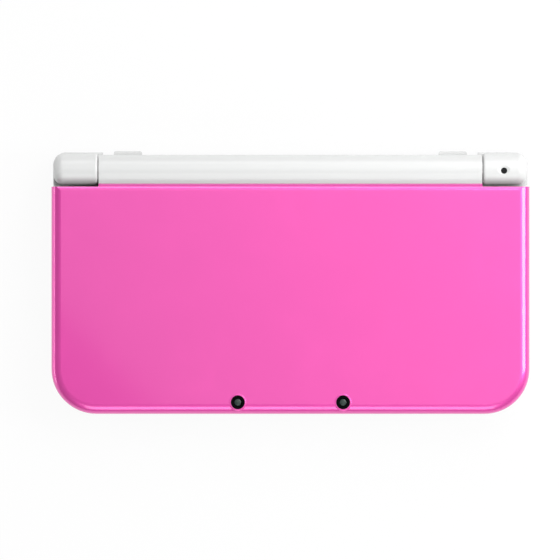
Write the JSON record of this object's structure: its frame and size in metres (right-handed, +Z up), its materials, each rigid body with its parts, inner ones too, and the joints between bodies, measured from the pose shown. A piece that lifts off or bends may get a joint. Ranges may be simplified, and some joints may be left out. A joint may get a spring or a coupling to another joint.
{
  "type": "handheld game console",
  "caption": "Clamshell handheld game console, closed: glossy pink lid over a white lower half, round white hinge, triggers, full set of controls inside.",
  "frame": {"origin": "middle of the closed console's footprint, on the surface it lies on", "axes": "+X to the right across the lid, +Y towards the hinge, +Z up out of the lid; the front edge faces -Y"},
  "size_m": [0.16, 0.0882, 0.0216],
  "materials": {
    "pink": "glossy pink moulding",
    "white": "glossy white moulding",
    "white_soft": "finely grained white moulding",
    "steel": "plain steel",
    "sheet": "folded bright sheet",
    "cell": "wrapped battery cell",
    "board": "green circuit board",
    "dark": "dark plastic",
    "black": "black gloss",
    "ir": "dark red infrared filter",
    "clear": "clear light pipe",
    "smoke": "smoked lamp lens",
    "screen": "black screen panel",
    "mat": "grey silicone rubber",
    "grey": "grey plastic",
    "pad": "soft grey grip",
    "keys": "pale grey key plastic",
    "lens": "coated camera lens"
  },
  "bodies": {
    "base": {"rear_cover": "pink", "lower_case": "white", "case_floor": "white_soft", "deck": "white_soft", "hinge_cap_left": "white", "hinge_cap_right": "white", "hinge_pin_left": "steel", "hinge_pin_right": "steel", "battery": "cell", "main_board": "board", "button_boards": "board", "front_board": "board", "card_slot": "dark", "microsd_slot": "sheet", "headphone_jack": "dark", "charge_port": "sheet", "ir_window": "ir", "status_lights": "clear", "notification_light": "smoke", "lower_display": "dark", "touch_panel": "screen", "key_mats": "mat", "pad_housing": "dark", "shoulder_switches": "dark", "trigger_pins": "steel", "case_screws": "steel", "cover_screws": "steel"},
    "lid": {"lid_cover": "pink", "lid_frame": "white", "upper_glass": "screen", "upper_display": "dark", "outer_cameras": "black", "camera_lenses": "lens", "inner_camera": "black", "speakers": "dark", "hinge_clutch": "steel", "lid_pads": "mat", "lid_screws": "steel"},
    "volume_knob": {"volume_slider": "keys"},
    "depth_knob": {"depth_slider": "keys"},
    "pad_cross_slide": {"pad_carriage": "grey"},
    "pad_top": {"pad_skirt": "grey", "slide_pad": "pad"},
    "dpad_ball": {"dpad_pivot": "steel"},
    "dpad_top": {"dpad": "keys"},
    "stick_ball": {"nub_pivot": "steel"},
    "stick_top": {"nub": "pad"},
    "key_a": {"button_a": "keys"},
    "key_b": {"button_b": "keys"},
    "key_x": {"button_x": "keys"},
    "key_y": {"button_y": "keys"},
    "key_start": {"start_button": "keys"},
    "key_select": {"select_button": "keys"},
    "key_home": {"home_button": "keys"},
    "key_power": {"power_button": "keys"},
    "stylus_pen": {"stylus": "white"},
    "trigger_left": {"trigger_l": "white"},
    "trigger_right": {"trigger_r": "white"},
    "inner_trigger_left": {"trigger_zl": "white"},
    "inner_trigger_right": {"trigger_zr": "white"}
  },
  "joints": [
    {"name": "lid_open", "type": "hinge", "parent": "base", "child": "lid", "pos_m": [0, 0.03795, 0.0156], "axis": [-1, 0, 0], "range_deg": [0, 155]},
    {"name": "volume_slide", "type": "slide", "parent": "lid", "child": "volume_knob", "axis": [0, 1, 0], "range_m": [-0.0034, 0.0034]},
    {"name": "depth_slide", "type": "slide", "parent": "lid", "child": "depth_knob", "axis": [0, 1, 0], "range_m": [-0.0034, 0.0034]},
    {"name": "pad_side", "type": "slide", "parent": "base", "child": "pad_cross_slide", "axis": [1, 0, 0], "range_m": [-0.002, 0.002], "stiffness_N_per_m": 200},
    {"name": "pad_forward", "type": "slide", "parent": "pad_cross_slide", "child": "pad_top", "axis": [0, 1, 0], "range_m": [-0.002, 0.002], "stiffness_N_per_m": 200},
    {"name": "dpad_tilt_forward", "type": "hinge", "parent": "base", "child": "dpad_ball", "pos_m": [-0.0605, -0.01599, 0.0091], "axis": [1, 0, 0], "range_deg": [-1.6, 1.6], "stiffness_Nm_per_rad": 0.26},
    {"name": "dpad_tilt_side", "type": "hinge", "parent": "dpad_ball", "child": "dpad_top", "pos_m": [-0.0605, -0.01599, 0.0091], "axis": [0, 1, 0], "range_deg": [-1.6, 1.6], "stiffness_Nm_per_rad": 0.26},
    {"name": "stick_tilt_forward", "type": "hinge", "parent": "base", "child": "stick_ball", "pos_m": [0.049, 0.025, 0.009], "axis": [1, 0, 0], "range_deg": [-2.5, 2.5], "stiffness_Nm_per_rad": 0.05},
    {"name": "stick_tilt_side", "type": "hinge", "parent": "stick_ball", "child": "stick_top", "pos_m": [0.049, 0.025, 0.009], "axis": [0, 1, 0], "range_deg": [-2.5, 2.5], "stiffness_Nm_per_rad": 0.05},
    {"name": "press_a", "type": "slide", "parent": "base", "child": "key_a", "axis": [0, 0, -1], "range_m": [0, 0.0008], "stiffness_N_per_m": 800},
    {"name": "press_b", "type": "slide", "parent": "base", "child": "key_b", "axis": [0, 0, -1], "range_m": [0, 0.0008], "stiffness_N_per_m": 800},
    {"name": "press_x", "type": "slide", "parent": "base", "child": "key_x", "axis": [0, 0, -1], "range_m": [0, 0.0008], "stiffness_N_per_m": 800},
    {"name": "press_y", "type": "slide", "parent": "base", "child": "key_y", "axis": [0, 0, -1], "range_m": [0, 0.0008], "stiffness_N_per_m": 800},
    {"name": "press_start", "type": "slide", "parent": "base", "child": "key_start", "axis": [0, 0, -1], "range_m": [0, 0.0004], "stiffness_N_per_m": 1000},
    {"name": "press_select", "type": "slide", "parent": "base", "child": "key_select", "axis": [0, 0, -1], "range_m": [0, 0.0004], "stiffness_N_per_m": 1000},
    {"name": "press_home", "type": "slide", "parent": "base", "child": "key_home", "axis": [0, 0, -1], "range_m": [0, 0.0004], "stiffness_N_per_m": 1000},
    {"name": "press_power", "type": "slide", "parent": "base", "child": "key_power", "axis": [0, 1, 0], "range_m": [0, 0.0004], "stiffness_N_per_m": 1500},
    {"name": "stylus_out", "type": "slide", "parent": "base", "child": "stylus_pen", "axis": [0, -1, 0], "range_m": [0, 0.07]},
    {"name": "pull_left", "type": "hinge", "parent": "base", "child": "trigger_left", "pos_m": [-0.0648, 0.0408, 0.0065], "axis": [0, 0, 1], "range_deg": [0, 3.8], "stiffness_Nm_per_rad": 0.25},
    {"name": "pull_right", "type": "hinge", "parent": "base", "child": "trigger_right", "pos_m": [0.0648, 0.0408, 0.0065], "axis": [0, 0, -1], "range_deg": [0, 3.8], "stiffness_Nm_per_rad": 0.25},
    {"name": "pull_inner_left", "type": "hinge", "parent": "base", "child": "inner_trigger_left", "pos_m": [-0.0513, 0.0406, 0.0065], "axis": [0, 0, 1], "range_deg": [0, 5], "stiffness_Nm_per_rad": 0.15},
    {"name": "pull_inner_right", "type": "hinge", "parent": "base", "child": "inner_trigger_right", "pos_m": [0.0513, 0.0406, 0.0065], "axis": [0, 0, -1], "range_deg": [0, 5], "stiffness_Nm_per_rad": 0.15}
  ]
}
